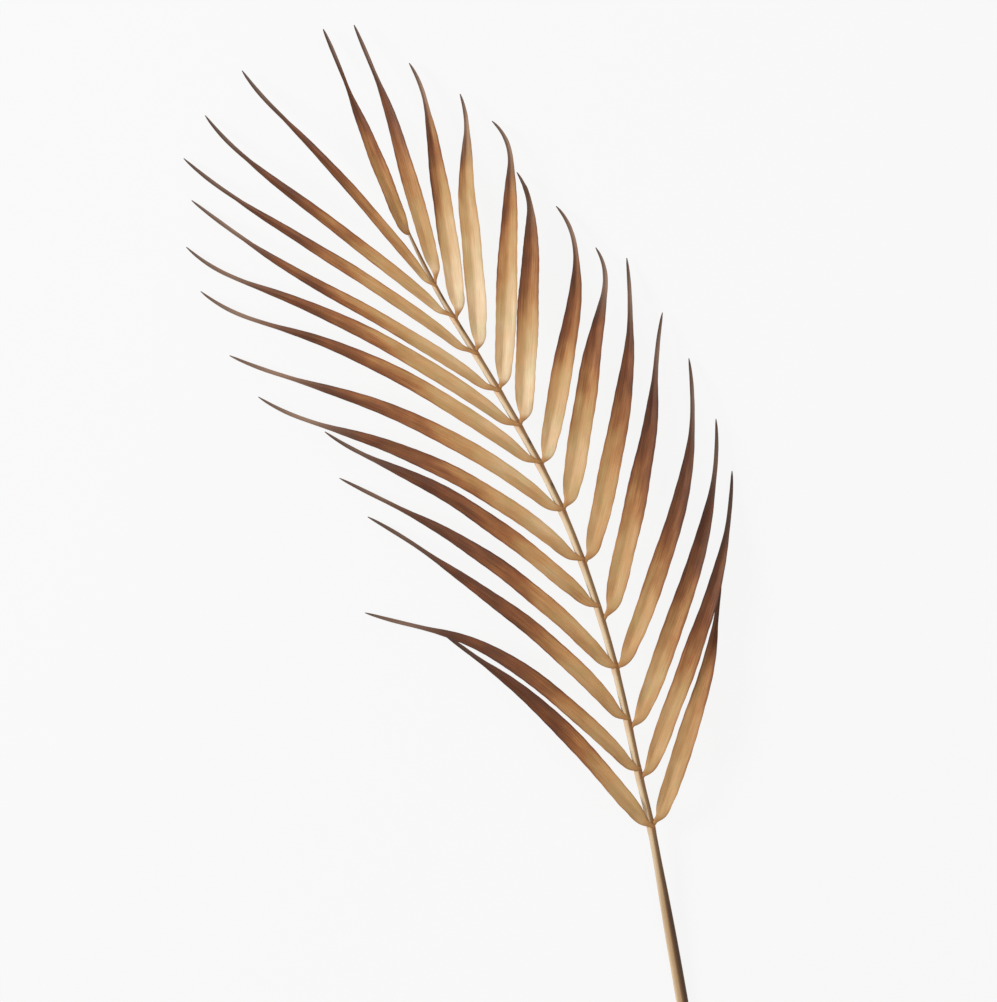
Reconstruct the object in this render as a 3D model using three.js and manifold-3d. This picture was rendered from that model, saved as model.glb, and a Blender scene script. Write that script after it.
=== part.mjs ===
import * as THREE from "three";
import { mergeVertices } from "three/addons/utils/BufferGeometryUtils.js";
import Module from "manifold-3d";

// One dried feather-shaped palm leaf, lying face up on a flat surface.
// Millimetres, +Z up, +Y from the cut end of the stalk to the tip of the leaf.
// Headings are degrees in plan, counted to the left of +Y.
// Distances along the stalk start at its cut end.

// Stalk and midrib
const BARE_STALK = 187;
const AXIS_LENGTH = 680;
const AXIS_STEP = 4;
const AXIS_HEADING = [
  [0, -10],
  [165, -9.5],
  [BARE_STALK, -8],
  [205, -6],
  [236, -8],
  [290, -6.5],
  [342, -3],
  [400, 0.8],
  [450, 6.2],
  [500, 9.5],
  [545, 11],
  [590, 12],
  [630, 7],
  [AXIS_LENGTH, 4],
];
const AXIS_HALF_WIDTH = [
  [0, 4.5],
  [90, 4.3],
  [130, 3.8],
  [160, 3.2],
  [240, 2.85],
  [500, 2.75],
  [560, 2.5],
  [620, 1.8],
  [AXIS_LENGTH, 0.9],
];
const AXIS_HALF_DEPTH = 0.86;
const FLAT_REST = 54;
const BARE_STEP = 20;
// Height of the underside of the stalk
const AXIS_RISE = [
  [0, 0],
  [FLAT_REST, 0],
  [BARE_STALK, 11],
  [340, 26],
  [482, 29],
  [610, 23],
  [AXIS_LENGTH, 15],
];
const NODE_SWELL = 0.12;
const NODE_REACH = 5;
// Section of the stalk, right and up as shares of its half width and half depth
const AXIS_SECTION = [
  [-0.42, -1],
  [0.42, -1],
  [0.84, -0.62],
  [1, 0],
  [0.86, 0.46],
  [0.34, 0.78],
  [0.06, 1],
  [-0.3, 0.82],
  [-0.84, 0.5],
  [-1, 0],
  [-0.84, -0.62],
];

// Leaflets, counted from the bare stalk towards the tip.
// at: where it leaves the stalk, long: its length in plan, wide: its greatest width,
// turn: its heading near the base, halfway, at four fifths and at the tip,
// low: the height of its lowest point, near the tip, over the surface,
// neck: the length of its stalklet,
// late: the share of its length by which it narrows nearer the tip than most of them
const LEFT = [
  { at: 182.5, long: 219, wide: 13.5, turn: [19.5, 25.7, 35.5, 33], low: 2, neck: 5 },
  { at: 227, long: 242, wide: 12, turn: [24.6, 36.3, 58, 54], low: 5, neck: 2.5 },
  { at: 265.5, long: 248.5, wide: 12.8, turn: [22, 33.5, 36.5, 42], low: 3, neck: 4.5, late: -0.015 },
  { at: 306, long: 252.5, wide: 13.2, turn: [25, 35.3, 44.3, 43], low: 4, neck: 2.5, late: -0.025 },
  { at: 352.5, long: 245, wide: 12.9, turn: [28.7, 37.2, 46.3, 35], low: 2, neck: 4.5, late: 0.02 },
  { at: 389, long: 274.7, wide: 12.9, turn: [30.6, 45.5, 53.7, 37], low: 6, neck: 5 },
  { at: 429, long: 278, wide: 12.3, turn: [33, 46.6, 53.7, 45], low: 3, neck: 3.5 },
  { at: 467.5, long: 288, wide: 11.8, turn: [33.8, 44.2, 53.5, 31], low: 4, neck: 6, late: -0.015 },
  { at: 499, long: 286.5, wide: 11.5, turn: [34.8, 43.4, 49.6, 27], low: 2, neck: 6, late: 0.015 },
  { at: 528.5, long: 274.5, wide: 10, turn: [36.1, 41.2, 35.5, 31], low: 0, neck: 7 },
  { at: 560.5, long: 267.2, wide: 9.1, turn: [34, 38, 36.6, 27], low: 3, neck: 9 },
  { at: 593, long: 243.2, wide: 9.3, turn: [30.9, 32.9, 30.2, 16], low: 5, neck: 8 },
  { at: 619.5, long: 220, wide: 7.9, turn: [19.4, 22, 25, 14], low: 7, neck: 5 },
];
const RIGHT = [
  { at: 184.8, long: 198, wide: 14.1, turn: [-39.3, -37.1, -29, -27], low: 2, neck: 4.5, late: -0.02 },
  { at: 221.5, long: 240, wide: 13.8, turn: [-40.9, -39.5, -30.8, -22], low: 0, neck: 3 },
  { at: 260, long: 240.8, wide: 14.8, turn: [-42, -38, -29.1, -17], low: 4, neck: 3.5, late: -0.03 },
  { at: 305.5, long: 240.6, wide: 14.4, turn: [-42, -36.4, -23.5, -13], low: 3, neck: 2.5, late: -0.04 },
  { at: 343, long: 234, wide: 16.1, turn: [-34.4, -31.5, -25.3, -31], low: 5, neck: 6, late: -0.03 },
  { at: 387.8, long: 231.5, wide: 15.7, turn: [-34, -30, -21.3, -14], low: 3, neck: 4, late: -0.035 },
  { at: 430.3, long: 200, wide: 16.5, turn: [-31, -29, -32, 12], low: 6, neck: 4 },
  { at: 467.3, long: 199.5, wide: 15.4, turn: [-31.4, -30.2, -15.5, 21], low: 4, neck: 3, late: -0.04 },
  { at: 500.5, long: 191.8, wide: 15.9, turn: [-23, -23, -18, 12], low: 5, neck: 4, late: 0.05 },
  { at: 530.9, long: 206, wide: 15.5, turn: [-23.2, -22.1, -21.2, 27], low: 4, neck: 3.5 },
  { at: 563.9, long: 194.7, wide: 14.8, turn: [-17.4, -14.5, -21.5, -1], low: 6, neck: 3, late: 0.04 },
  { at: 592, long: 197.5, wide: 14.5, turn: [-13, -11, -9.2, 12], low: 5, neck: 5 },
  { at: 622.5, long: 205, wide: 12.2, turn: [-5.4, -3.5, 1.8, 3.2], low: 8, neck: 6 },
];
const END = { at: 664, long: 168.8, wide: 10.9, turn: [3, 2, 2, 4], low: 6, neck: 1, late: -0.13 };
const TURN_AT = [0.08, 0.5, 0.8, 1];

// Blade of a leaflet, along its length as shares of the whole
const SEGMENTS = 22;
const CROWD_ENDS = 0.5;
const SLOPE_STEP = 0.01;
const BLADE_THICK = 0.65;
const RIB_DEEP = 0.9;
const RIB_TAPER = 0.8;
// Makes late the greatest shift of a leaflet's widths, at two thirds of its blade
const LATE_SHAPE = 27 / 4;
const LOWER_HALF = [
  [0, 0.4],
  [0.012, 0.62],
  [0.023, 0.77],
  [0.035, 0.87],
  [0.06, 1],
  [0.1, 1.09],
  [0.13, 1.13],
  [0.2, 1.1],
  [0.3, 1.08],
  [0.4, 1.04],
  [0.5, 0.94],
  [0.6, 0.83],
  [0.7, 0.66],
  [0.75, 0.53],
  [0.8, 0.41],
  [0.85, 0.33],
  [0.9, 0.24],
  [0.95, 0.12],
  [1, 0.03],
];
const UPPER_HALF = [
  [0, 0.15],
  [0.012, 0.23],
  [0.023, 0.33],
  [0.035, 0.46],
  [0.06, 0.64],
  [0.09, 0.77],
  [0.13, 0.84],
  [0.2, 0.91],
  [0.3, 0.97],
  [0.4, 0.98],
  [0.5, 0.92],
  [0.6, 0.78],
  [0.7, 0.57],
  [0.75, 0.44],
  [0.8, 0.33],
  [0.85, 0.28],
  [0.9, 0.22],
  [0.95, 0.12],
  [1, 0.03],
];
// The tips are alike on narrow and wide leaflets: the least half width there, in millimetres
const LEAST_HALF = [
  [0, 0],
  [0.7, 1.3],
  [0.8, 1.7],
  [0.9, 1.7],
  [0.95, 1.15],
  [0.98, 0.8],
  [1, 0.35],
];
// Degrees by which both edges stand up from the rib in the middle
const FOLD = [
  [0, 30],
  [0.12, 18],
  [0.4, 12],
  [0.7, 18],
  [1, 28],
];
// Degrees of roll: the edge towards the tip of the leaf hangs lower
const ROLL = [
  [0, 8],
  [0.5, 6],
  [1, 3],
];

// Root of a leaflet: a short round stalklet that opens into the blade. The left ones start on the
// face of the stalk near its right edge and cross over it, and the right ones start in its side.
// high and side: place of the root above and right of the stalk's middle, as shares of its half
// depth and half width, sunk: millimetres by which the root dips into the stalk,
// splay: degrees by which the base of the leaflet stands off its course
const ROOT_LEFT = { high: 1.2, side: 0.7, sunk: 1.8, splay: 16 };
const ROOT_RIGHT = { high: 0.55, side: 0.55, sunk: 0, splay: 13 };
const SPLAY_SHARE = 0.07;
const STALKLET_HALF_WIDTH = 0.5;
const STALKLET_FADE = 4;
const ROUND_SHARE = 0.08;
const ROUND_THICK = 0.7;
const ROUND_RIB = 0.9;

// What differs from leaflet to leaflet
const SEED = 20;
const ARCH = 12;
const ARCH_SPREAD = 3;
const EDGE_WAVE = 0.035;
const EDGE_WAVES = 3.5;
const EDGE_LIFT = 0.7;
const LIFT_TURN = 9;
const LIFT_OFFSET = 2;
const SETTLE_PASSES = 4;

// Columns of a leaflet's skin that are its upper face
const UPPER_COLUMNS = 2;
const WELD = 0.001;

const rad = THREE.MathUtils.degToRad;

// Repeatable draws between -1 and 1.
function makeDraw(seed) {
  let state = seed;
  return () => {
    state = (state * 1664525 + 1013904223) % 4294967296;
    return (state / 4294967296) * 2 - 1;
  };
}

// Smooth reading of a table of [position, value] rows.
function read(table, x) {
  const last = table.length - 1;
  if (x <= table[0][0]) return table[0][1];
  if (x >= table[last][0]) return table[last][1];
  let i = 0;
  while (table[i + 1][0] < x) i++;
  const slope = (k) => {
    const a = table[Math.max(k - 1, 0)];
    const b = table[Math.min(k + 1, last)];
    return (b[1] - a[1]) / (b[0] - a[0]);
  };
  const [x0, y0] = table[i];
  const [x1, y1] = table[i + 1];
  const h = x1 - x0;
  const t = (x - x0) / h;
  const u = 1 - t;
  const bend = (y1 - y0) / h;
  const limit = (m) => {
    if (m * bend <= 0) return 0;
    return Math.sign(m) * Math.min(Math.abs(m), 3 * Math.abs(bend));
  };
  const curve = h * t * u * (u * limit(slope(i)) - t * limit(slope(i + 1)));
  return u * u * (1 + 2 * t) * y0 + t * t * (3 - 2 * t) * y1 + curve;
}

// Direction in plan of a heading.
function towards(heading) {
  return new THREE.Vector3(-Math.sin(rad(heading)), Math.cos(rad(heading)), 0);
}

// Skins a row of rings of equal length and closes both ends with fans from the last point.
// The last columns of a blade are its upper face, split along the diagonals of the face below.
function skin(rings, upperColumns = 0) {
  const ring = rings[0].length;
  const points = rings.flat();
  const faces = [];
  for (let i = 0; i + 1 < rings.length; i++) {
    for (let j = 0; j < ring; j++) {
      const a = i * ring + j;
      const b = i * ring + ((j + 1) % ring);
      if (j < ring - upperColumns) faces.push(a, b + ring, b, a, a + ring, b + ring);
      else faces.push(a, a + ring, b, b, a + ring, b + ring);
    }
  }
  const hub = ring - 1;
  const end = (rings.length - 1) * ring;
  for (let j = 0; j + 1 < hub; j++) {
    faces.push(hub, j, j + 1);
    faces.push(end + hub, end + j + 1, end + j);
  }
  return { points, faces };
}

const wasm = await Module();
wasm.setup();

function solid({ points, faces }) {
  const vertProperties = new Float32Array(points.flatMap((p) => [p.x, p.y, p.z]));
  const triVerts = new Uint32Array(faces);
  return new wasm.Manifold(new wasm.Mesh({ numProp: 3, vertProperties, triVerts }));
}

// Course of the stalk in plan, in equal steps
function axisCourse() {
  const steps = Math.round(AXIS_LENGTH / AXIS_STEP);
  const step = AXIS_LENGTH / steps;
  const points = [new THREE.Vector3()];
  for (let i = 0; i < steps; i++) {
    const heading = read(AXIS_HEADING, (i + 0.5) * step);
    points.push(points[i].clone().addScaledVector(towards(heading), step));
  }
  return points;
}

const course = axisCourse();

// Middle of the stalk's section at a distance along it.
function axisPoint(along) {
  const place = (along / AXIS_LENGTH) * (course.length - 1);
  const i = Math.min(Math.floor(place), course.length - 2);
  const point = course[i].clone().lerp(course[i + 1], place - i);
  point.z = read(AXIS_RISE, along) + AXIS_HALF_DEPTH * read(AXIS_HALF_WIDTH, along);
  return point;
}

// Half width of the stalk, which swells where a leaflet leaves it on either side.
function axisHalfWidth(along) {
  let swell = 0;
  for (const leaf of [...LEFT, ...RIGHT]) {
    swell += (NODE_SWELL / 2) * Math.exp(-(((along - leaf.at) / NODE_REACH) ** 2));
  }
  return read(AXIS_HALF_WIDTH, along) * (1 + swell);
}

// Distances along the stalk at which it has a section.
function axisStops() {
  const nodes = LEFT.map((leaf, i) => (leaf.at + RIGHT[i].at) / 2);
  const stops = [0, FLAT_REST / 2, FLAT_REST];
  while (stops.at(-1) + 2 * BARE_STEP < nodes[0]) stops.push(stops.at(-1) + BARE_STEP);
  nodes.forEach((node, i) => {
    const next = nodes[i + 1] ?? END.at;
    stops.push(node - NODE_REACH, node, node + NODE_REACH, (node + next) / 2);
  });
  stops.push(END.at, AXIS_LENGTH);
  return stops;
}

function stalk() {
  const rings = axisStops().map((along) => {
    const centre = axisPoint(along);
    const side = towards(read(AXIS_HEADING, along) - 90);
    const half = axisHalfWidth(along);
    return AXIS_SECTION.map(([x, z]) => {
      const point = centre.clone().addScaledVector(side, x * half);
      point.z += z * half * AXIS_HALF_DEPTH;
      return point;
    });
  });
  return solid(skin(rings));
}

// Rings of one leaflet that would end at tipHeight; hand is 1 left of the stalk and -1 right.
function leafletRings(leaf, hand, habit, tipHeight) {
  const turnTable = TURN_AT.map((share, i) => [share, leaf.turn[i]]);
  const base = hand > 0 ? ROOT_LEFT : ROOT_RIGHT;
  const stalkHalf = axisHalfWidth(leaf.at);
  const across = towards(read(AXIS_HEADING, leaf.at) - 90);
  const root = axisPoint(leaf.at).addScaledVector(across, base.side * stalkHalf);
  root.z += base.high * stalkHalf * AXIS_HALF_DEPTH;
  const stem = stalkHalf * STALKLET_HALF_WIDTH;
  const startShare = leaf.neck / leaf.long;
  const heading = (share) =>
    read(turnTable, share) + hand * base.splay * Math.max(0, 1 - share / SPLAY_SHARE);
  const height = (share) =>
    root.z * (1 - share) + tipHeight * share + habit.arch * 4 * share * (1 - share);
  const at = new THREE.Vector3(root.x, root.y, 0);
  const rings = [];
  let before = 0;
  for (let i = 0; i <= SEGMENTS; i++) {
    const even = i / SEGMENTS;
    const share = even - (CROWD_ENDS * Math.sin(2 * Math.PI * even)) / (2 * Math.PI);
    at.addScaledVector(towards(heading((share + before) / 2)), (share - before) * leaf.long);
    before = share;
    const centre = new THREE.Vector3(at.x, at.y, height(share));
    if (i === 0) centre.z -= base.sunk;
    const along = towards(heading(share));
    const rise = height(share + SLOPE_STEP) - height(share - SLOPE_STEP);
    along.z = rise / (2 * SLOPE_STEP * leaf.long);
    along.normalize();
    const side = towards(heading(share) - 90);
    side.applyAxisAngle(along, hand * rad(read(ROLL, share)));
    const normal = new THREE.Vector3().crossVectors(side, along);
    const blade = Math.max(0, (share - startShare) / (1 - startShare));
    const opening = Math.min(1, share / startShare);
    const placeOfWidth = blade - (leaf.late ?? 0) * LATE_SHAPE * blade ** 2 * (1 - blade);
    const least = Math.max(read(LEAST_HALF, share), stem * (1 - STALKLET_FADE * blade));
    const round = Math.max(0, 1 - blade / ROUND_SHARE);
    const fold = rad(read(FOLD, share)) * (1 - round);
    const edge = (table, sign) => {
      const turn = 2 * Math.PI * habit.waves * share + habit.phase + sign;
      const wave = 1 + EDGE_WAVE * Math.sin(turn);
      const own = (read(table, placeOfWidth) * opening * leaf.wide * wave) / 2;
      const half = Math.max(own, least);
      const lift = Math.sin(LIFT_TURN * share + habit.lift + LIFT_OFFSET * sign);
      const ruffle = EDGE_LIFT * lift * Math.sin(Math.PI * share);
      const point = centre.clone().addScaledVector(side, sign * half * Math.cos(fold));
      return point.addScaledVector(normal, half * Math.sin(fold) + ruffle);
    };
    const left = edge(hand > 0 ? LOWER_HALF : UPPER_HALF, -1);
    const right = edge(hand > 0 ? UPPER_HALF : LOWER_HALF, 1);
    const under = (point, depth) => point.clone().addScaledVector(normal, -depth);
    const thick = BLADE_THICK + stem * ROUND_THICK * round;
    const rib = BLADE_THICK + RIB_DEEP * (1 - RIB_TAPER * share) + stem * ROUND_RIB * round;
    rings.push([
      left,
      under(left, thick),
      under(centre, rib),
      under(right, thick),
      right,
      centre,
    ]);
  }
  return rings;
}

// One leaflet, let down or lifted until its lowest point is at the height it should have.
function leaflet(leaf, hand, draw) {
  const habit = {
    arch: ARCH + ARCH_SPREAD * draw(),
    waves: EDGE_WAVES + draw(),
    phase: Math.PI * draw(),
    lift: Math.PI * draw(),
  };
  let tipHeight = leaf.low;
  let rings;
  for (let pass = 0; pass < SETTLE_PASSES; pass++) {
    rings = leafletRings(leaf, hand, habit, tipHeight);
    tipHeight += leaf.low - Math.min(...rings.flat().map((point) => point.z));
  }
  return solid(skin(rings, UPPER_COLUMNS));
}

const draw = makeDraw(SEED);
const leaflets = [
  ...LEFT.map((leaf) => leaflet(leaf, 1, draw)),
  ...RIGHT.map((leaf) => leaflet(leaf, -1, draw)),
  leaflet(END, 1, draw),
];
const joined = leaflets.reduce((body, leaf) => body.add(leaf), stalk()).getMesh();
// The middle of the leaf's footprint is the origin
const surface = new THREE.BufferGeometry();
surface.setAttribute("position", new THREE.BufferAttribute(joined.vertProperties, 3));
surface.setIndex(new THREE.BufferAttribute(joined.triVerts, 1));
surface.computeBoundingBox();
const middle = surface.boundingBox.getCenter(new THREE.Vector3());
surface.translate(-middle.x, -middle.y, 0);

const frond = new THREE.Mesh(
  mergeVertices(surface, WELD),
  new THREE.MeshStandardMaterial({ color: 0xb58a52, roughness: 0.75 }),
);
frond.name = "frond";

const group = new THREE.Group();
group.add(frond);
export default group;
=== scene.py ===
import math
from collections import namedtuple

import bpy
import numpy as np
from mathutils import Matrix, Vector


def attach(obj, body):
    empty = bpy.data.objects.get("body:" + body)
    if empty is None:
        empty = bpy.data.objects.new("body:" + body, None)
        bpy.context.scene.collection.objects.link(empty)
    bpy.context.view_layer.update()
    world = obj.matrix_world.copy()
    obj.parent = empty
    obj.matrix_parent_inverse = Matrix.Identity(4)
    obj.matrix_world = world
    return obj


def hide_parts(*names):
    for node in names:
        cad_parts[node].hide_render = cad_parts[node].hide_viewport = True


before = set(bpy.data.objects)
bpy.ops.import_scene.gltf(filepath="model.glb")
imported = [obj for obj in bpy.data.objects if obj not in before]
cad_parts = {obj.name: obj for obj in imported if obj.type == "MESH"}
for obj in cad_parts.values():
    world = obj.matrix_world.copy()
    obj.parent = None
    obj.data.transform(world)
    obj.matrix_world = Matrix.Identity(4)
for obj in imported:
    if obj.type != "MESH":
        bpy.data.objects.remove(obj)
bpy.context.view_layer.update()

# One dried feather-shaped palm leaf, lying face up. Lengths are millimetres and angles are
# degrees, and both change to Blender's units only where a mesh or an object is made.
# Headings are counted to the left of +Y, and distances along the stalk start at its cut end.
MM = 0.001

# Place of the stalk's cut end, so that the middle of the whole footprint is the origin
CUT_END = (-16.374, -412.508)

# Stalk and midrib, with its heading, its half width and how high its underside is, by the
# distance along it
BARE_STALK = 187
AXIS_LENGTH = 680
AXIS_STEP = 2.5
AXIS_HEADING = [
    (0, -10),
    (165, -9.5),
    (BARE_STALK, -8),
    (205, -6),
    (236, -8),
    (290, -6.5),
    (342, -3),
    (400, 0.8),
    (450, 6.2),
    (500, 9.5),
    (545, 11),
    (590, 12),
    (630, 7),
    (AXIS_LENGTH, 4),
]
AXIS_HALF_WIDTH = [
    (0, 4.5),
    (90, 4.3),
    (130, 3.8),
    (160, 3.2),
    (240, 2.85),
    (500, 2.75),
    (560, 2.5),
    (620, 1.8),
    (AXIS_LENGTH, 0.9),
]
AXIS_HALF_DEPTH = 0.86
AXIS_RISE = [
    (0, 0),
    (54, 0),
    (BARE_STALK, 11),
    (340, 26),
    (482, 29),
    (610, 23),
    (AXIS_LENGTH, 15),
]
NODE_SWELL = 0.12
NODE_REACH = 5
# Section of the stalk, right and up as shares of its half width and half depth
AXIS_SECTION = [
    (-0.42, -1),
    (0.42, -1),
    (0.84, -0.62),
    (1, 0),
    (0.86, 0.46),
    (0.34, 0.78),
    (0.06, 1),
    (-0.3, 0.82),
    (-0.84, 0.5),
    (-1, 0),
    (-0.84, -0.62),
]
SECTION_SPLIT = 4
FIBRES = 23
FIBRE_DEEP = 0.012
FIBRE_TWIST = 0.02
CUT_RINGS = (0.97, 0.86, 0.72, 0.55, 0.36, 0.16)
CUT_ROUGH = 0.35
CUT_SEED = 5
# The stalk's grain is measured round it at this radius
GRAIN_RADIUS = 4
# The bare stalk's colours give way to those between the leaflets from here on
LEAFY_FROM = 120
LEAFY_REACH = 90
# Dark spots on the right of the stalk: their distance along it and their half length
DARK_SPOTS = [(449.5, 2.2), (486, 2.2), (584, 2.4), (611, 3.8)]

# Leaflets, counted from the bare stalk towards the tip. For each: where it leaves the stalk,
# its length in plan, its greatest width, its heading near the base, halfway, at four fifths
# and at the tip, the height of its lowest point, the length of its stalklet, the share of its
# length by which it narrows nearer the tip than most of them, and its ageing: how much more its
# foot has aged than the blade above it, how far that has aged from cream (0) to dark brown (1),
# the share of its length at which it has turned brown, and how pale its withered end is.
LEFT = [
    (182.5, 219, 13.5, (19.5, 25.7, 35.5, 33), 2, 5, 0, (0.02, 0.43, 0.39, 0)),
    (227, 242, 12, (24.6, 36.3, 58, 54), 5, 2.5, -0.02, (0.01, 0.455, 0.36, 0.65)),
    (265.5, 248.5, 12.8, (22, 33.5, 36.5, 42), 3, 4.5, -0.055, (0.01, 0.465, 0.38, 0.25)),
    (306, 252.5, 13.2, (25, 35.3, 44.3, 43), 4, 2.5, -0.045, (0.02, 0.465, 0.37, 0.5)),
    (352.5, 245, 12.9, (28.7, 37.2, 46.3, 35), 2, 4.5, 0.02, (0.06, 0.45, 0.38, 0.35)),
    (389, 274.7, 12.9, (30.6, 45.5, 53.7, 37), 6, 5, -0.02, (0.06, 0.4, 0.43, 1)),
    (429, 278, 12.3, (33, 46.6, 53.7, 45), 3, 3.5, -0.015, (0.04, 0.39, 0.46, 1)),
    (467.5, 288, 11.8, (33.8, 44.2, 53.5, 31), 4, 6, -0.04, (0.04, 0.38, 0.46, 0.9)),
    (499, 286.5, 11.5, (34.8, 43.4, 49.6, 27), 2, 6, -0.01, (0.05, 0.38, 0.49, 0.7)),
    (528.5, 274.5, 10, (36.1, 41.2, 35.5, 31), 0, 7, -0.015, (0.05, 0.38, 0.49, 0.6)),
    (560.5, 267.2, 9.1, (34, 38, 36.6, 27), 3, 9, 0, (0, 0.41, 0.48, 0.3)),
    (593, 243.2, 9.3, (30.9, 32.9, 30.2, 16), 5, 8, 0, (-0.24, 0.475, 0.47, 0.15)),
    (619.5, 220, 7.9, (19.4, 22, 25, 14), 7, 5, -0.03, (-0.22, 0.54, 0.42, 0.2)),
]
RIGHT = [
    (184.8, 198, 14.1, (-39.3, -37.1, -29, -27), 2, 4.5, -0.02, (0.05, 0.43, 0.67, 0.1)),
    (221.5, 240, 13.8, (-40.9, -39.5, -30.8, -22), 0, 3, 0, (0.05, 0.43, 0.45, 0.2)),
    (260, 240.8, 14.8, (-42, -38, -29.1, -17), 4, 3.5, -0.03, (0.03, 0.43, 0.45, 0.7)),
    (305.5, 240.6, 14.4, (-42, -36.4, -23.5, -13), 3, 2.5, -0.04, (0.04, 0.45, 0.39, 0.4)),
    (343, 234, 16.1, (-34.4, -31.5, -25.3, -31), 5, 6, -0.035, (0.02, 0.45, 0.44, 0.55)),
    (387.8, 231.5, 15.7, (-34, -30, -21.3, -14), 3, 4, -0.045, (0.03, 0.44, 0.49, 0.6)),
    (430.3, 200, 16.5, (-31, -29, -32, 12), 6, 4, -0.01, (0.04, 0.38, 0.53, 0.9)),
    (467.3, 199.5, 15.4, (-31.4, -30.2, -15.5, 21), 4, 3, -0.045, (0, 0.31, 0.48, 0.8)),
    (500.5, 191.8, 15.9, (-23, -23, -18, 12), 5, 4, 0.05, (0.04, 0.24, 0.54, 0.6)),
    (530.9, 206, 15.5, (-23.2, -22.1, -21.2, 27), 4, 3.5, 0.01, (0.03, 0.23, 0.66, 0.8)),
    (563.9, 194.7, 14.8, (-17.4, -14.5, -21.5, -1), 6, 3, 0.04, (-0.03, 0.22, 0.97, 1)),
    (592, 197.5, 14.5, (-13, -11, -9.2, 12), 5, 5, -0.02, (-0.04, 0.21, 0.6, 0.8)),
    (622.5, 205, 12.2, (-5.4, -3.5, 1.8, 3.2), 8, 6, -0.06, (-0.36, 0.47, 0.5, 0.45)),
]
END = [
    (664, 168.8, 10.9, (3, 2, 2, 4), 6, 1, -0.13, (-0.12, 0.55, 0.42, 0.35)),
]
TURN_AT = (0.08, 0.5, 0.8, 1)
Leaf = namedtuple("Leaf", ("at", "long", "wide", "turn", "low", "neck", "late", "ageing"))

# Ageing along a leaflet. It grows to brown at the row's share, and the older a leaflet is at
# its base, the later most of that comes and the more it ages beyond.
AGE_BROWN = 0.68
AGE_START = 0.15
AGE_BEND = 0.6
AGE_BEND_OLD = 2
AGE_YOUNGEST = 0.16
AGE_OLDER_MOST = 0.26
AGE_REACH = 0.22
FOOT_REACH = 0.15
TIP_AGE = 1
TIP_FROM = 0.88
# Painted fold shade: the palest leaflets are darker left of their middle and lighter right of it
FOLD_SHADE = 0.13
FOLD_SHADE_BELOW = 0.42
FOLD_SHADE_SHARP = 3
# The paler a withered end is, the farther from the tip it starts
WITHERED_FROM = 0.72
WITHERED_EARLIER = 0.04
WITHERED_REACH = 0.16

# Blade of a leaflet, along its length as shares of the whole
RINGS = 110
CROWD_ENDS = 0.5
UPPER_COLUMNS = 25
UNDER_COLUMNS = 11
BLADE_THICK = 0.35
RIB_DEEP = 0.9
RIB_TAPER = 0.8
RIB_HALF_WIDTH = 0.8
CREASE = 0.09
# Makes a leaflet's late narrowing greatest, and as large as its row says, two thirds of the way
# along the blade
LATE_SHAPE = 27 / 4
# Half widths of the half that faces the cut end and of the other half, as shares of half the
# leaflet's greatest width
LOWER_HALF = [
    (0, 0.4),
    (0.012, 0.62),
    (0.023, 0.77),
    (0.035, 0.87),
    (0.06, 1),
    (0.1, 1.09),
    (0.13, 1.13),
    (0.2, 1.1),
    (0.3, 1.08),
    (0.4, 1.04),
    (0.5, 0.94),
    (0.6, 0.83),
    (0.7, 0.66),
    (0.75, 0.53),
    (0.8, 0.37),
    (0.85, 0.28),
    (0.9, 0.24),
    (0.95, 0.12),
    (1, 0.03),
]
UPPER_HALF = [
    (0, 0.15),
    (0.012, 0.23),
    (0.023, 0.33),
    (0.035, 0.46),
    (0.06, 0.64),
    (0.09, 0.77),
    (0.13, 0.84),
    (0.2, 0.91),
    (0.3, 0.97),
    (0.4, 0.98),
    (0.5, 0.92),
    (0.6, 0.78),
    (0.7, 0.57),
    (0.75, 0.44),
    (0.8, 0.3),
    (0.85, 0.24),
    (0.9, 0.22),
    (0.95, 0.12),
    (1, 0.03),
]
# The tips are alike on narrow and wide leaflets: the least half width there, in millimetres
LEAST_HALF = [
    (0, 0),
    (0.7, 1.3),
    (0.8, 1.6),
    (0.9, 1.7),
    (0.95, 1.35),
    (0.98, 0.95),
    (1, 0.35),
]
# How far each half is folded up along the middle, and how far the whole leaflet is rolled
FOLD = [(0, 30), (0.12, 18), (0.4, 12), (0.7, 18), (1, 28)]
ROLL = [(0, 8), (0.5, 6), (1, 3)]

# Root of a leaflet: a short round stalklet that opens into the blade. The left ones (1) start on
# the face of the stalk near its right edge and cross over it, and the right ones (-1) start in
# its side. The root's place is a share of the stalk's half depth and half width, it dips into
# the stalk over the first millimetres, and there the leaflet is splayed out further.
ROOT_HIGH = {1: 1.2, -1: 0.55}
ROOT_SIDE = {1: 0.7, -1: 0.55}
ROOT_SUNK = {1: 1.8, -1: 0}
ROOT_RISE = 2.6
SPLAY = {1: 16, -1: 13}
SPLAY_SHARE = 0.07
STALKLET_HALF_WIDTH = 0.5
STALKLET_FADE = 4
ROUND_SHARE = 0.08
ROUND_RIB = 0.9
ROUND_RIM = 0.96

# What differs from leaflet to leaflet
SEED = 20
ARCH = 12
ARCH_SPREAD = 3
# Makes a bow as high as the arch says, halfway along
ARCH_SHAPE = 4
EDGE_WAVE = 0.035
EDGE_WAVES = 3.5
EDGE_LIFT = 0.7
LIFT_TURN = 9
LIFT_OFFSET = 2
SETTLE_PASSES = 4

# Fine relief of a blade: the veins that run along it, its drying wrinkles and its margin
VEINS = 4
VEIN_HIGH = 0.07
WRINKLE_HIGH = 0.16
WRINKLES = 34
WRINKLES_SPREAD = 12
WRINKLE_SLANT = 5
WRINKLE_SLOW = 0.37
NIBBLE = 0.014
NIBBLES = 19
NIBBLES_SPREAD = 6
GRAIN_SPREAD = 4000
DETAIL_SEED = 3
# The relief fades out where a half blade is narrower than this
RELIEF_WIDE = 4

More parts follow.
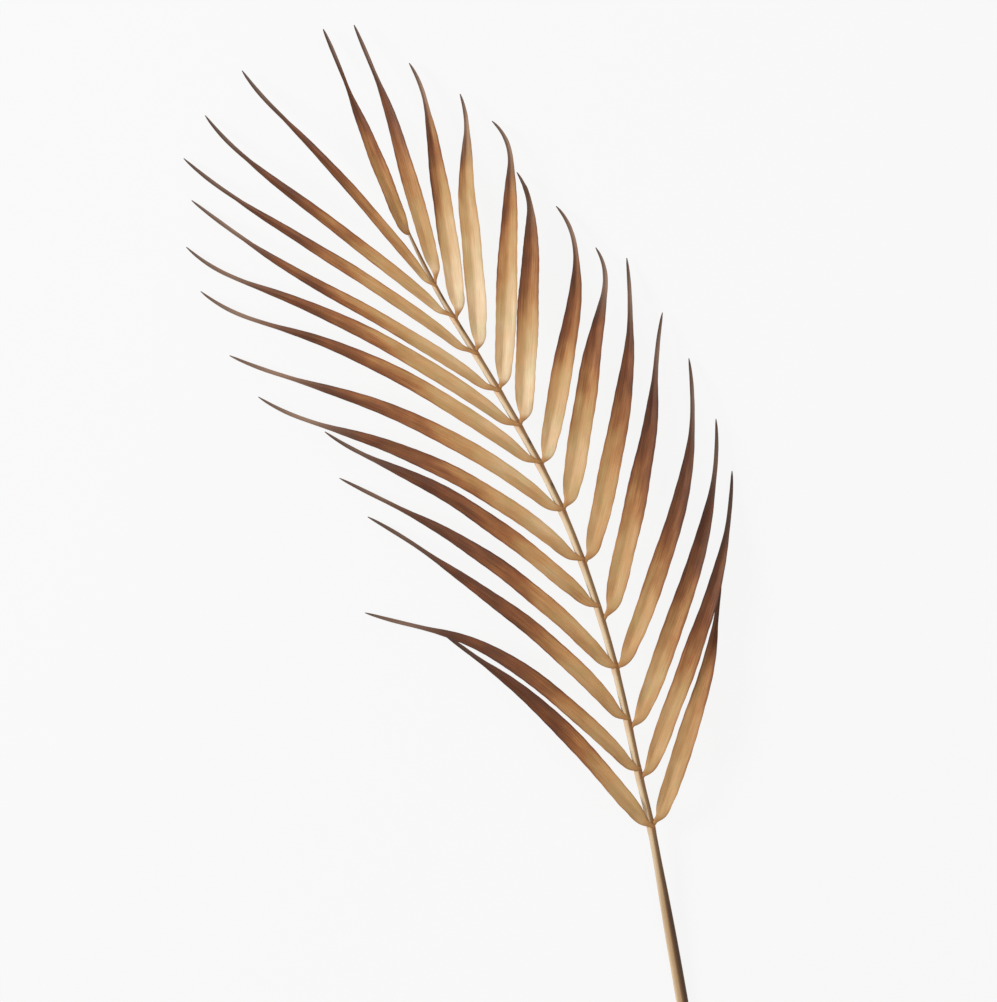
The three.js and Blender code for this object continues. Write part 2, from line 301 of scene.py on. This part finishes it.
# Camera, straight above, and the picture's frame
PICTURE_HIGH = 1002
MM_PER_PIXEL = 0.75
SENSOR = 36
VIEW_LEVEL = 5
VIEW_HEIGHT = 2200
VIEW_CENTRE = (-9.1, 35.845)
VIEW_TURN = -20


def rad(angle):
    return math.radians(angle)


def make_draw(seed):
    """Repeatable draws between -1 and 1."""
    state = seed

    def draw():
        nonlocal state
        state = (state * 1664525 + 1013904223) % 4294967296
        return state / 4294967296 * 2 - 1

    return draw


def read(table, x):
    """Smooth reading of a table of (position, value) rows."""
    last = len(table) - 1
    if x <= table[0][0]:
        return table[0][1]
    if x >= table[last][0]:
        return table[last][1]
    i = 0
    while table[i + 1][0] < x:
        i += 1

    def slope(k):
        a, b = table[max(k - 1, 0)], table[min(k + 1, last)]
        return (b[1] - a[1]) / (b[0] - a[0])

    (x0, y0), (x1, y1) = table[i], table[i + 1]
    h = x1 - x0
    t = (x - x0) / h
    u = 1 - t
    bend = (y1 - y0) / h

    def limit(m):
        return 0 if m * bend <= 0 else math.copysign(min(abs(m), 3 * abs(bend)), m)

    curve = h * t * u * (u * limit(slope(i)) - t * limit(slope(i + 1)))
    return u * u * (1 + 2 * t) * y0 + t * t * (3 - 2 * t) * y1 + curve


def reading(table, places):
    return np.array([read(table, x) for x in places])


def towards(heading):
    """Direction in plan of a heading."""
    return np.array([-math.sin(rad(heading)), math.cos(rad(heading)), 0.0])


def axis_course():
    """Course of the stalk in plan, in equal steps."""
    steps = round(AXIS_LENGTH / AXIS_STEP)
    step = AXIS_LENGTH / steps
    points = [np.array([CUT_END[0], CUT_END[1], 0.0])]
    for i in range(steps):
        points.append(points[i] + step * towards(read(AXIS_HEADING, (i + 0.5) * step)))
    return points


COURSE = axis_course()


def axis_point(along):
    """Middle of the stalk's section at a distance along it."""
    place = along / AXIS_LENGTH * (len(COURSE) - 1)
    i = min(int(place), len(COURSE) - 2)
    point = COURSE[i] + (place - i) * (COURSE[i + 1] - COURSE[i])
    point[2] = read(AXIS_RISE, along) + AXIS_HALF_DEPTH * read(AXIS_HALF_WIDTH, along)
    return point


def axis_swell(along):
    """How near the stalk is to its leaflets: 1 where one leaves it on either side."""
    near = [math.exp(-(((along - at) / NODE_REACH) ** 2)) for at, *_ in LEFT + RIGHT]
    return sum(near) / 2


def axis_half_width(along):
    return read(AXIS_HALF_WIDTH, along) * (1 + NODE_SWELL * axis_swell(along))


class Shell:
    """Points, faces and surface values of a piece that is made of several skins."""

    def __init__(self):
        self.points = []
        self.faces = []
        self.values = {}
        self.count = 0

    def add_skin(self, grid, **values):
        """A closed skin over a grid of points, rings by columns. A ring runs clockwise as seen
        from the first ring towards the last. Each value has one number for every point."""
        rings, columns = grid.shape[:2]
        index = np.arange(rings * columns).reshape(rings, columns) + self.count
        index = np.concatenate([index, index[:, :1]], axis=1)
        a, b = index[:-1, :-1], index[:-1, 1:]
        c, d = index[1:, 1:], index[1:, :-1]
        self.faces += np.stack([a, b, c, d], axis=-1).reshape(-1, 4).tolist()
        self.faces.append(index[0, -2::-1].tolist())
        self.faces.append(index[-1, :-1].tolist())
        self.points.append(grid.reshape(-1, 3))
        for name, value in values.items():
            self.values.setdefault(name, []).append(np.broadcast_to(value, grid.shape[:2]).ravel())
        self.count += rings * columns

    def build(self, name, material):
        mesh = bpy.data.meshes.new(name)
        mesh.from_pydata((np.concatenate(self.points) * MM).tolist(), [], self.faces)
        for label, parts in self.values.items():
            layer = mesh.attributes.new(label, "FLOAT", "POINT")
            layer.data.foreach_set("value", np.concatenate(parts).astype(np.float32))
        mesh.validate()
        mesh.shade_smooth()
        mesh.materials.append(material)
        piece = bpy.data.objects.new(name, mesh)
        bpy.context.scene.collection.objects.link(piece)
        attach(piece, "root")
        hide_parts("frond")
        return piece


def shares_along():
    """Places of a leaflet's rings, closer together near both ends."""
    even = np.linspace(0, 1, RINGS + 1)
    return even - CROWD_ENDS * np.sin(2 * np.pi * even) / (2 * np.pi)


SHARES = shares_along()


def leaflet_line(leaf, hand, arch, tip_height):
    """Middle line of a leaflet and, at each ring, the directions to its side and up from it."""
    turn_table = list(zip(TURN_AT, leaf.turn))

    def heading(share):
        splay = hand * SPLAY[hand] * max(0, 1 - share / SPLAY_SHARE)
        return read(turn_table, share) + splay

    half = axis_half_width(leaf.at)
    to_right = towards(read(AXIS_HEADING, leaf.at) - 90)
    root = axis_point(leaf.at) + half * ROOT_SIDE[hand] * to_right
    root[2] += half * AXIS_HALF_DEPTH * ROOT_HIGH[hand]
    steps = [b - a for a, b in zip(SHARES, SHARES[1:])]
    ways = [towards(heading((a + b) / 2)) for a, b in zip(SHARES, SHARES[1:])]
    moved = np.cumsum([way * step * leaf.long for way, step in zip(ways, steps)], axis=0)
    centre = root + np.concatenate([np.zeros((1, 3)), moved])
    bow = ARCH_SHAPE * arch
    centre[:, 2] = root[2] + (tip_height - root[2]) * SHARES + bow * SHARES * (1 - SHARES)
    centre[:, 2] -= ROOT_SUNK[hand] * np.clip(1 - SHARES * leaf.long / ROOT_RISE, 0, 1) ** 2
    along = np.array([towards(heading(share)) for share in SHARES])
    along[:, 2] = (tip_height - root[2] + bow * (1 - 2 * SHARES)) / leaf.long
    along /= np.linalg.norm(along, axis=1, keepdims=True)
    level = np.array([towards(heading(share) - 90) for share in SHARES])
    roll = np.radians(hand * reading(ROLL, SHARES))[:, None]
    side = level * np.cos(roll) + np.cross(along, level) * np.sin(roll)
    return centre, side, np.cross(side, along)


def leaflet_margins(leaf, hand, habit, blade, stem):
    """Half widths of a leaflet and how far its margins are lifted, at each ring, for its left
    half (-1) and its right half (1). blade: the share of the blade at each ring."""
    profile_at = blade - leaf.late * LATE_SHAPE * blade**2 * (1 - blade)
    opening = np.clip(SHARES / (leaf.neck / leaf.long), 0, 1)
    nibbled = 1 + NIBBLE * np.sin(2 * np.pi * habit["nibbles"] * SHARES + habit["phase"])
    least = np.maximum(reading(LEAST_HALF, SHARES), stem * (1 - STALKLET_FADE * blade))
    halves, lifts = {}, {}
    for sign in (-1, 1):
        table = LOWER_HALF if sign == -hand else UPPER_HALF
        wave = 1 + EDGE_WAVE * np.sin(2 * np.pi * habit["waves"] * SHARES + habit["phase"] + sign)
        own = reading(table, profile_at) * opening * leaf.wide * wave * nibbled / 2
        halves[sign] = np.maximum(own, least)
        turned = np.sin(LIFT_TURN * SHARES + habit["lift"] + LIFT_OFFSET * sign)
        lifts[sign] = EDGE_LIFT * turned * np.sin(np.pi * SHARES)
    return halves, lifts


def ageing_values(leaf, across):
    """How far a leaflet has aged (plus painted fold shade on the palest ones), withered, paled and
    dried at its tip, rings by columns.
    """
    foot, base_age, brown, pallor = leaf.ageing
    way = np.clip((SHARES - AGE_START) / (brown - AGE_START), 0, 1)
    age = base_age + (AGE_BROWN - base_age) * way ** (AGE_BEND + AGE_BEND_OLD * base_age)
    older = min(base_age - AGE_YOUNGEST, AGE_OLDER_MOST)
    age += older * (1 - np.exp(-np.maximum(SHARES - brown, 0) / AGE_REACH))
    age += foot * np.clip(1 - SHARES / FOOT_REACH, 0, 1)
    tip = np.clip((SHARES - TIP_FROM) / (1 - TIP_FROM), 0, 1)
    age += np.maximum(TIP_AGE - age, 0) * tip
    # Painted shade: the left half of a pale leaflet's fold is made darker and its right half lighter,
    # added to its age
    paleness = max(0, 1 - base_age / FOLD_SHADE_BELOW)
    fold_shade = -FOLD_SHADE * math.sqrt(paleness) * np.tanh(FOLD_SHADE_SHARP * across)
    withered_from = WITHERED_FROM - WITHERED_EARLIER * pallor
    return {
        "age": age[:, None] + fold_shade,
        "withered": np.clip((SHARES - withered_from) / WITHERED_REACH, 0, 1)[:, None],
        "pallor": np.full((len(SHARES), 1), pallor),
        "tip": tip[:, None],
    }


def leaflet_skin(leaf, hand, habit, tip_height):
    """Points of one leaflet, rings by columns, and the values that its colour is made from."""
    centre, side, normal = leaflet_line(leaf, hand, habit["arch"], tip_height)
    stem = axis_half_width(leaf.at) * STALKLET_HALF_WIDTH
    start = leaf.neck / leaf.long
    blade = np.clip((SHARES - start) / (1 - start), 0, 1)
    round_off = np.clip(1 - blade / ROUND_SHARE, 0, 1)
    fold = np.radians(reading(FOLD, SHARES)) * (1 - round_off)
    halves, lifts = leaflet_margins(leaf, hand, habit, blade, stem)

    def surface(across, under):
        """Places sideways and up of one face, at these shares of the half width."""
        wing = np.where(across < 0, halves[-1][:, None], halves[1][:, None])
        lift = np.where(across < 0, lifts[-1][:, None], lifts[1][:, None])
        wide_at = across * wing * np.cos(fold)[:, None]
        rise = (np.sqrt(across**2 + CREASE**2) - CREASE) / (math.sqrt(1 + CREASE**2) - CREASE)
        height = rise * (wing * np.sin(fold)[:, None] + lift)
        soft = np.clip(wing / RELIEF_WIDE, 0, 1)
        if under:
            rib = RIB_DEEP * (1 - RIB_TAPER * SHARES)[:, None]
            height = height - BLADE_THICK - rib * np.exp(-((wide_at / RIB_HALF_WIDTH) ** 2)) * soft
        else:
            veins = VEIN_HIGH * np.cos(2 * np.pi * VEINS * across)
            run = habit["wrinkles"] * SHARES[:, None]
            wrinkles = np.sin(run + WRINKLE_SLANT * across + habit["lift"])
            wrinkles = wrinkles * np.sin(WRINKLE_SLOW * run + habit["phase"])
            height = height + soft * (veins + WRINKLE_HIGH * wrinkles)
        deep = BLADE_THICK + RIB_DEEP + stem * ROUND_RIB
        rim = np.sqrt(1 - (ROUND_RIM * across) ** 2)
        stalklet = -deep / 2 * (1 + rim if under else 1 - rim)
        part = (round_off**2 * (3 - 2 * round_off))[:, None]
        height = height * (1 - part) + stalklet * part
        return wide_at, height, across * wing

    upper = np.linspace(-1, 1, UPPER_COLUMNS)[None, :]
    lower = np.linspace(1, -1, UNDER_COLUMNS)[None, :]
    faces = zip(surface(upper, False), surface(lower, True))
    wide_at, height, grain = (np.concatenate(pair, axis=1) for pair in faces)
    points = centre[:, None] + wide_at[..., None] * side[:, None] + height[..., None] * normal[:, None]
    across = np.concatenate([upper, lower], axis=1)
    values = ageing_values(leaf, across)
    values["across"] = across * hand
    values["under"] = np.concatenate([upper * 0, lower * 0 + 1], axis=1)
    values["stalklet"] = round_off[:, None]
    values["grain_x"] = grain
    values["grain_y"] = SHARES[:, None] * leaf.long + habit["offset"]
    return points, values


def leaflet(shell, leaf, hand, draw, detail):
    """Adds one leaflet, let down until its lowest point is at the height that it should have."""
    habit = {
        "arch": ARCH + ARCH_SPREAD * draw(),
        "waves": EDGE_WAVES + draw(),
        "phase": math.pi * draw(),
        "lift": math.pi * draw(),
        "nibbles": NIBBLES + NIBBLES_SPREAD * detail(),
        "wrinkles": WRINKLES + WRINKLES_SPREAD * detail(),
        "offset": GRAIN_SPREAD * detail(),
    }
    tip_height = leaf.low
    for _ in range(SETTLE_PASSES):
        points, values = leaflet_skin(leaf, hand, habit, tip_height)
        tip_height += leaf.low - points[..., 2].min()
    shell.add_skin(points, **values)


def axis_section():
    """The stalk's section as a smooth closed line, one row for each of its points."""
    corners = np.array(AXIS_SECTION[::-1], float)
    count = len(corners)
    rows = []
    for i in range(count):
        p0, p1, p2, p3 = (corners[(i + k) % count] for k in (-1, 0, 1, 2))
        for k in range(SECTION_SPLIT):
            t = k / SECTION_SPLIT
            bend = (2 * p0 - 5 * p1 + 4 * p2 - p3) * t**2 + (3 * p1 - p0 - 3 * p2 + p3) * t**3
            rows.append(p1 + (p2 - p0) * t / 2 + bend / 2)
    return np.array(rows)


def stalk(shell):
    """Adds the stalk: the rings of its rough cut face and then those up to its tip."""
    section = axis_section()
    angle = np.arctan2(section[:, 1], section[:, 0])
    rough_draw = make_draw(CUT_SEED)
    stops = np.linspace(0, AXIS_LENGTH, round(AXIS_LENGTH / AXIS_STEP) + 1)
    places = [0.0] * len(CUT_RINGS) + list(stops)
    sizes = list(CUT_RINGS[::-1]) + [1.0] * len(stops)
    grid, swell, scar, cut = [], [], [], []
    for along, size in zip(places, sizes):
        half = axis_half_width(along)
        side = towards(read(AXIS_HEADING, along) - 90)
        groove = 1 + FIBRE_DEEP * np.sin(FIBRES * angle + FIBRE_TWIST * along) * (size == 1)
        ring = axis_point(along) + (section[:, :1] * groove[:, None]) * half * size * side
        ring[:, 2] += section[:, 1] * groove * half * size * AXIS_HALF_DEPTH
        if size < 1:
            rough = np.array([rough_draw() for _ in angle])
            ring += towards(AXIS_HEADING[0][1]) * (CUT_ROUGH * (1 + rough))[:, None] / 2
        grid.append(ring)
        swell.append(axis_swell(along))
        scar.append(sum(math.exp(-(((along - at) / reach) ** 2)) for at, reach in DARK_SPOTS))
        cut.append(float(size < 1))
    grid = np.array(grid)
    shell.add_skin(
        grid,
        flank=section[None, :, 0],
        lift=section[None, :, 1],
        node=np.array(swell)[:, None],
        scar=np.array(scar)[:, None],
        cut=np.array(cut)[:, None],
        grain_x=angle[None, :] * GRAIN_RADIUS,
        grain_y=np.array(places)[:, None],
        leafy=np.clip((np.array(places)[:, None] - LEAFY_FROM) / LEAFY_REACH, 0, 1),
    )


# Colours, given as they look on a screen
def colour(red, green, blue):
    """A screen colour of 0 to 255 as Blender's linear one."""

    def linear(value):
        value /= 255
        return value / 12.92 if value <= 0.04045 else ((value + 0.055) / 1.055) ** 2.4

    return (linear(red), linear(green), linear(blue), 1.0)


class Nodes:
    """Makes the nodes of one material."""

    def __init__(self, name):
        self.material = bpy.data.materials.new(name)
        self.material.use_nodes = True
        self.tree = self.material.node_tree
        self.shader = self.tree.nodes["Principled BSDF"]

    def add(self, kind, inputs, **settings):
        node = self.tree.nodes.new("ShaderNode" + kind)
        for name, value in settings.items():
            setattr(node, name, value)
        for socket, value in inputs.items():
            self.put(node.inputs[socket], value)
        return node

    def put(self, socket, value):
        if isinstance(value, bpy.types.NodeSocket):
            self.tree.links.new(value, socket)
        else:
            socket.default_value = value

    def value(self, name):
        return self.add("Attribute", {}, attribute_name=name).outputs["Fac"]

    def sum(self, operation, first, second=0.0, clamp=False):
        node = self.add("Math", {0: first, 1: second}, operation=operation, use_clamp=clamp)
        return node.outputs[0]

    def scaled(self, value, low, high, to_low=0.0, to_high=1.0):
        """value's way from low to high, as a way from to_low to to_high."""
        names = ("Value", "From Min", "From Max", "To Min", "To Max")
        return self.add("MapRange", dict(zip(names, (value, low, high, to_low, to_high)))).outputs[0]

    def noise(self, x, y, fine_x, fine_y, detail=3.0, shift=0.0):
        """Noise over a surface whose two coordinates are in millimetres; fine_x, fine_y: per mm."""
        parts = {
            "X": self.sum("MULTIPLY", x, fine_x),
            "Y": self.sum("MULTIPLY", y, fine_y),
            "Z": shift,
        }
        vector = self.add("CombineXYZ", parts).outputs[0]
        node = self.add("TexNoise", {"Vector": vector, "Scale": 1.0, "Detail": detail})
        return node.outputs["Fac"]

    def ramp(self, value, stops):
        node = self.add("ValToRGB", {"Fac": value})
        while len(node.color_ramp.elements) < len(stops):
            node.color_ramp.elements.new(0.5)
        for element, (place, shade) in zip(node.color_ramp.elements, stops):
            element.position = place
            element.color = colour(*shade)
        return node.outputs["Color"]

    def mix(self, amount, first, second, blend="MIX"):
        """Mix of two colours, whose sockets are known only by their numbers."""
        node = self.add("Mix", {0: amount, 6: first, 7: second}, data_type="RGBA", blend_type=blend)
        return node.outputs[2]

    def bump(self, height, distance, strength):
        node = self.add("Bump", {"Height": height, "Distance": distance, "Strength": strength})
        self.put(self.shader.inputs["Normal"], node.outputs[0])


# Colours of a blade from its youngest, cream part to its oldest, dark brown one
BLADE_AGES = [
    (0.0, (248, 234, 206)),
    (0.1, (239, 218, 184)),
    (0.2, (227, 199, 160)),
    (0.4, (204, 166, 117)),
    (0.5, (196, 153, 102)),
    (0.6, (179, 128, 79)),
    (0.68, (155, 101, 60)),
    (0.76, (132, 81, 48)),
    (0.86, (104, 62, 40)),
    (1.0, (83, 50, 36)),
]
WITHERED_DARK = (88, 66, 54)
WITHERED_PALE = (156, 128, 108)
WITHERED_MOST = 0.75
TIP_DARK_MOST = 0.8
STALKLET_BROWN = (184, 134, 82)
UNDERSIDE = (190, 160, 125)
UNDERSIDE_MOST = 0.25
# Factors on a blade's colour, where it is tinted
WARM_TINT = (1.03, 0.95, 0.88, 1)
OLIVE_TINT = (0.96, 1.0, 0.9, 1)
# How much older or younger a blade is in its blotches and along its fibres, and how much older
# at its margins and specks
MOTTLE = 0.08
MARGIN_OLDER = 0.13
SPECK_OLDER = 0.14


def blade_material():
    n = Nodes("dried_blade")
    x, y = n.value("grain_x"), n.value("grain_y")
    across = n.value("across")
    fibre = n.noise(x, y, 1.9, 0.03, detail=4.0)
    thread = n.noise(x, y, 5.0, 0.12, detail=2.0, shift=7.0)
    blotch = n.noise(x, y, 0.09, 0.035, detail=2.0, shift=13.0)
    tint = n.noise(x, y, 0.14, 0.06, detail=1.0, shift=29.0)
    speck = n.noise(x, y, 1.3, 0.9, detail=2.0, shift=41.0)
    edge = n.scaled(n.sum("ABSOLUTE", across), 0.72, 1.0)
    # The age value also carries the painted fold shade of the palest leaflets
    age = n.sum("ADD", n.value("age"), n.scaled(blotch, 0.25, 0.75, -MOTTLE, MOTTLE))
    age = n.sum("ADD", age, n.scaled(fibre, 0.25, 0.75, -MOTTLE, MOTTLE))
    age = n.sum("ADD", age, n.sum("MULTIPLY", edge, MARGIN_OLDER))
    age = n.sum("ADD", age, n.scaled(speck, 0.66, 0.8, 0.0, SPECK_OLDER), clamp=True)
    shade = n.ramp(age, BLADE_AGES)
    shade = n.mix(n.scaled(tint, 0.35, 0.7), shade, WARM_TINT, blend="MULTIPLY")
    shade = n.mix(n.scaled(tint, 0.5, 0.25), shade, OLIVE_TINT, blend="MULTIPLY")
    streak = n.scaled(thread, 0.3, 0.7, 0.91, 1.08)
    shade = n.mix(1.0, shade, streak, blend="MULTIPLY")
    pale = n.sum("MULTIPLY", n.value("pallor"), n.value("withered"))
    grey = n.mix(pale, colour(*WITHERED_DARK), colour(*WITHERED_PALE))
    shade = n.mix(n.sum("MULTIPLY", n.value("withered"), WITHERED_MOST), shade, grey)
    tip = n.sum("MULTIPLY", n.value("tip"), TIP_DARK_MOST)
    shade = n.mix(tip, shade, colour(*WITHERED_DARK))
    shade = n.mix(n.scaled(n.value("stalklet"), 0.72, 0.98), shade, colour(*STALKLET_BROWN))
    under = n.sum("MULTIPLY", n.value("under"), UNDERSIDE_MOST)
    shade = n.mix(under, shade, colour(*UNDERSIDE))
    n.put(n.shader.inputs["Base Color"], shade)
    n.put(n.shader.inputs["Roughness"], n.scaled(fibre, 0.3, 0.7, 0.5, 0.68))
    n.put(n.shader.inputs["Specular IOR Level"], 0.3)
    relief = n.sum("ADD", fibre, n.sum("MULTIPLY", thread, 0.5))
    n.bump(relief, 0.00025, 0.35)
    return n.material


# Colours of the stalk from its left flank over its ridge to its right flank, where it is bare
# and between the leaflets: its own colour with painted shade, lit on the left and shaded on the right
BARE_COLOUR_AND_SHADE = [
    (0.0, (224, 198, 166)),
    (0.2, (200, 170, 132)),
    (0.4, (180, 145, 104)),
    (0.52, (150, 115, 79)),
    (0.64, (120, 88, 60)),
    (0.8, (92, 66, 47)),
    (1.0, (100, 76, 58)),
]
LEAFY_COLOUR_AND_SHADE = [
    (0.0, (210, 184, 148)),
    (0.14, (238, 218, 186)),
    (0.3, (232, 208, 172)),
    (0.5, (208, 176, 134)),
    (0.62, (188, 154, 110)),
    (0.74, (160, 126, 86)),
    (0.86, (144, 108, 72)),
    (1.0, (158, 126, 92)),
]
# Underside of the stalk, its collars at the leaflets on the left and on the right, and its dark spots
STALK_BELOW = (178, 142, 100)
COLLAR_LEFT = (222, 178, 138)
COLLAR_RIGHT = (162, 110, 64)
SPOT_BROWN = (66, 40, 30)
PITH = [(0.4, (120, 88, 58)), (0.6, (196, 166, 124))]


def stalk_material():
    n = Nodes("dried_stalk")
    x, y = n.value("grain_x"), n.value("grain_y")
    fibre = n.noise(x, y, 1.6, 0.02, detail=4.0)
    thread = n.noise(x, y, 5.0, 0.08, detail=2.0, shift=3.0)
    blotch = n.noise(x, y, 0.2, 0.03, detail=2.0, shift=11.0)
    place = n.scaled(n.value("flank"), -1.0, 1.0)
    place = n.sum("ADD", place, n.scaled(fibre, 0.3, 0.7, -0.04, 0.04), clamp=True)
    # Painted shade: both ramps run light on the left flank and dark on the right one
    shade = n.mix(n.value("leafy"), n.ramp(place, BARE_COLOUR_AND_SHADE), n.ramp(place, LEAFY_COLOUR_AND_SHADE))
    shade = n.mix(1.0, shade, n.scaled(blotch, 0.3, 0.7, 0.9, 1.06), blend="MULTIPLY")
    shade = n.mix(1.0, shade, n.scaled(thread, 0.3, 0.7, 0.92, 1.06), blend="MULTIPLY")
    below = n.scaled(n.value("lift"), 0.0, -0.7, 0.0, 0.7)
    shade = n.mix(below, shade, colour(*STALK_BELOW))
    right = n.scaled(n.value("flank"), -0.35, 0.35)
    collar = n.mix(right, colour(*COLLAR_LEFT), colour(*COLLAR_RIGHT))
    collared = n.sum("MULTIPLY", n.value("node"), n.scaled(right, 0.0, 1.0, 0.6, 0.95))
    shade = n.mix(collared, shade, collar)
    scarred = n.sum("MULTIPLY", n.value("scar"), n.scaled(n.value("flank"), 0.1, 0.5, 0.0, 0.92))
    shade = n.mix(scarred, shade, colour(*SPOT_BROWN))
    speckle = n.noise(x, y, 3.0, 3.0, detail=2.0, shift=5.0)
    shade = n.mix(n.value("cut"), shade, n.ramp(speckle, PITH))
    n.put(n.shader.inputs["Base Color"], shade)
    n.put(n.shader.inputs["Roughness"], n.scaled(fibre, 0.3, 0.7, 0.45, 0.62))
    n.put(n.shader.inputs["Specular IOR Level"], 0.35)
    n.bump(n.sum("ADD", fibre, thread), 0.0003, 0.35)
    return n.material


# Pieces
draw = make_draw(SEED)
detail = make_draw(DETAIL_SEED)
blade = blade_material()
for name, rows, hand in (
    ("left_leaflets", LEFT, 1),
    ("right_leaflets", RIGHT, -1),
    ("end_leaflet", END, 1),
):
    shell = Shell()
    for row in rows:
        leaflet(shell, Leaf(*row), hand, draw, detail)
    shell.build(name, blade)
whole_stalk = Shell()
stalk(whole_stalk)
whole_stalk.build("stalk", stalk_material())

# Floor
FLOOR_HALF = 6
FLOOR_GAP = 0.0003
FLOOR_SHADE = (0.07, 0.07, 0.07, 1)
FLOOR_GLOW = 0.88
WHITE = (1, 1, 1, 1)
floor_mesh = bpy.data.meshes.new("floor")
signs = ((-1, -1), (1, -1), (1, 1), (-1, 1))
corners = [(x * FLOOR_HALF, y * FLOOR_HALF, -FLOOR_GAP) for x, y in signs]
floor_mesh.from_pydata(corners, [], [(0, 1, 2, 3)])
floor = bpy.data.objects.new("floor", floor_mesh)
bpy.context.scene.collection.objects.link(floor)
paper = Nodes("pale_floor")
paper.put(paper.shader.inputs["Base Color"], FLOOR_SHADE)
paper.put(paper.shader.inputs["Roughness"], 0.9)
paper.put(paper.shader.inputs["Specular IOR Level"], 0.0)
paper.put(paper.shader.inputs["Emission Color"], WHITE)
paper.put(paper.shader.inputs["Emission Strength"], FLOOR_GLOW)
floor_mesh.materials.append(paper.material)

# Light, in metres and watts; places are counted to the picture's own left, to its top and up
TO_LEFT = Vector((-math.cos(rad(VIEW_TURN)), -math.sin(rad(VIEW_TURN)), 0))
TO_TOP = Vector((-math.sin(rad(VIEW_TURN)), math.cos(rad(VIEW_TURN)), 0))
UP = Vector((0, 0, 1))
KEY_PLACE = (2.4, 0.6, 1.7)
KEY_SIZE = 1.2
KEY_POWER = 62
FILL_PLACE = (-1.5, 1.2, 2.6)
FILL_SIZE = 2.5
FILL_POWER = 14
SKY_STRENGTH = 0.42


def area_light(name, place, size, power):
    left, top, up = place
    place = TO_LEFT * left + TO_TOP * top + UP * up
    data = bpy.data.lights.new(name, "AREA")
    data.shape = "DISK"
    data.size = size
    data.energy = power
    light = bpy.data.objects.new(name, data)
    bpy.context.scene.collection.objects.link(light)
    light.location = place
    light.rotation_mode = "QUATERNION"
    light.rotation_quaternion = (-place).to_track_quat("-Z", "Y")


area_light("key", KEY_PLACE, KEY_SIZE, KEY_POWER)
area_light("fill", FILL_PLACE, FILL_SIZE, FILL_POWER)
world = bpy.data.worlds.new("studio")
world.use_nodes = True
sky = world.node_tree.nodes["Background"]
sky.inputs["Color"].default_value = WHITE
sky.inputs["Strength"].default_value = SKY_STRENGTH
bpy.context.scene.world = world
bpy.context.scene.view_settings.view_transform = "Standard"

# Camera
camera_data = bpy.data.cameras.new("camera")
camera = bpy.data.objects.new("camera", camera_data)
bpy.context.scene.collection.objects.link(camera)
camera_data.sensor_width = SENSOR
camera_data.lens = SENSOR * VIEW_HEIGHT / (PICTURE_HIGH * MM_PER_PIXEL)
camera.location = (VIEW_CENTRE[0] * MM, VIEW_CENTRE[1] * MM, (VIEW_LEVEL + VIEW_HEIGHT) * MM)
camera.rotation_euler = (0, 0, rad(VIEW_TURN))
bpy.context.scene.camera = camera
